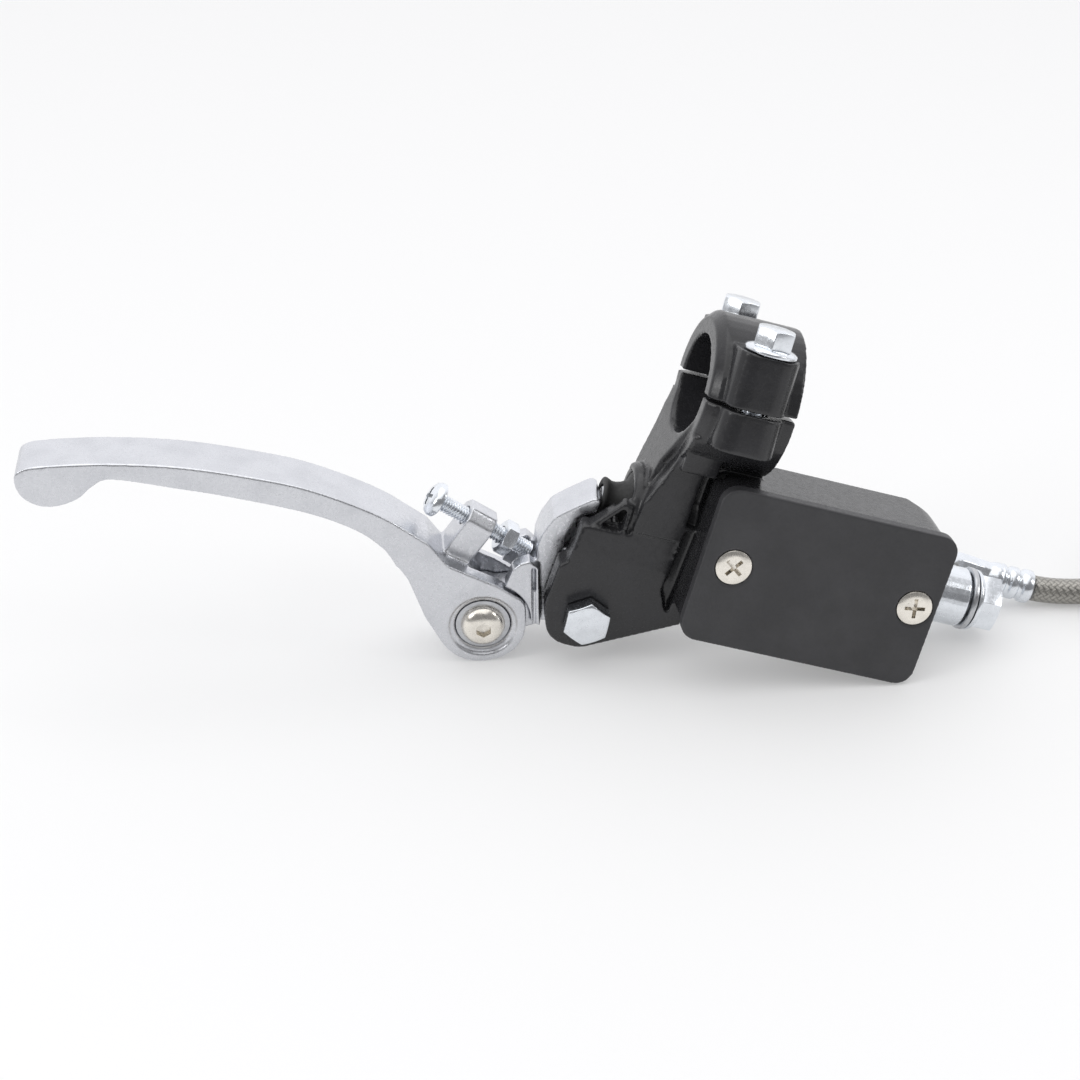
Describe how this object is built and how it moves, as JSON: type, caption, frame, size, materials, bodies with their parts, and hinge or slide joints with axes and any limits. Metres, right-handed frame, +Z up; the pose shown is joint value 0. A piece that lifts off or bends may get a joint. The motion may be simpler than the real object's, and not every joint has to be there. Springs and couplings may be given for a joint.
{
  "type": "motorcycle brake master cylinder",
  "caption": "Motorcycle front brake master cylinder with square reservoir, split handlebar clamp, folding lever with reach screw, and braided hose with banjo ends.",
  "frame": {"origin": "bottom centre of the object without its hose, on the surface it lies on", "axes": "+X along the length from the lever's ball end towards the hose outlet, +Y from the reservoir lid's side towards the back, +Z up"},
  "size_m": [0.3305, 0.0788, 0.0836],
  "materials": {
    "black_casting": "satin black paint over cast aluminium",
    "black_lid": "fine textured satin black",
    "cast_aluminium": "tumbled bright cast aluminium",
    "zinc_steel": "bright zinc plate",
    "nickel_steel": "warm nickel plate",
    "machined_steel": "machined",
    "rubber": "matt black rubber",
    "brass": "machined",
    "braid": "stainless braid under a clear sleeve"
  },
  "bodies": {
    "master_cylinder": {"master_cylinder_body": "black_casting", "clamp_cap": "black_casting", "clamp_bolt_near": "zinc_steel", "clamp_bolt_far": "zinc_steel", "reservoir_lid": "black_lid", "lid_screw_1": "nickel_steel", "lid_screw_2": "nickel_steel", "diaphragm": "rubber", "stop_washer": "zinc_steel", "circlip": "machined_steel", "dust_boot": "rubber", "return_spring": "machined_steel", "lever_pivot_bolt": "zinc_steel", "pivot_lock_nut": "zinc_steel", "pivot_bush": "brass", "inner_crush_washer": "zinc_steel", "outer_crush_washer": "zinc_steel", "banjo_bolt": "zinc_steel", "hose_banjo_fitting": "zinc_steel", "hose_ferrule": "zinc_steel", "brake_hose": "braid", "brake_hose_coil": "braid", "far_hose_ferrule": "zinc_steel", "far_banjo_fitting": "zinc_steel"},
    "lever": {"lever_base": "cast_aluminium"},
    "blade": {"lever_blade": "cast_aluminium", "fold_screw": "nickel_steel", "fold_washer": "machined_steel", "fold_lock_nut": "zinc_steel", "adjuster_nut": "zinc_steel"},
    "adjuster": {"adjuster_screw": "zinc_steel"},
    "piston": {"piston": "machined_steel", "primary_cup": "rubber", "secondary_cup": "rubber"}
  },
  "joints": [
    {"name": "lever_pivot", "type": "hinge", "parent": "master_cylinder", "child": "lever", "pos_m": [0.0131, -0.0007, 0.0128], "axis": [0, 1, 0], "range_deg": [0, 14], "stiffness_Nm_per_rad": 1.2, "springref_deg": -17.19},
    {"name": "piston_slide", "type": "slide", "parent": "master_cylinder", "child": "piston", "axis": [0.9544, 0, -0.2984], "range_m": [0, 0.0064], "deforming": ["return_spring", "dust_boot"]},
    {"name": "lever_fold", "type": "hinge", "parent": "lever", "child": "blade", "pos_m": [-0.0098, -0.0008, 0.0096], "axis": [0, -1, 0], "range_deg": [0, 90], "stiffness_Nm_per_rad": 0.12, "springref_deg": -51.57},
    {"name": "reach_adjuster", "type": "slide", "parent": "blade", "child": "adjuster", "axis": [0.8189, 0, -0.5739], "range_m": [-0.004, 0]}
  ],
  "couplings": [
    {"joint": "piston_slide", "follows": "lever_pivot", "m_per_rad": 0.0257}
  ]
}
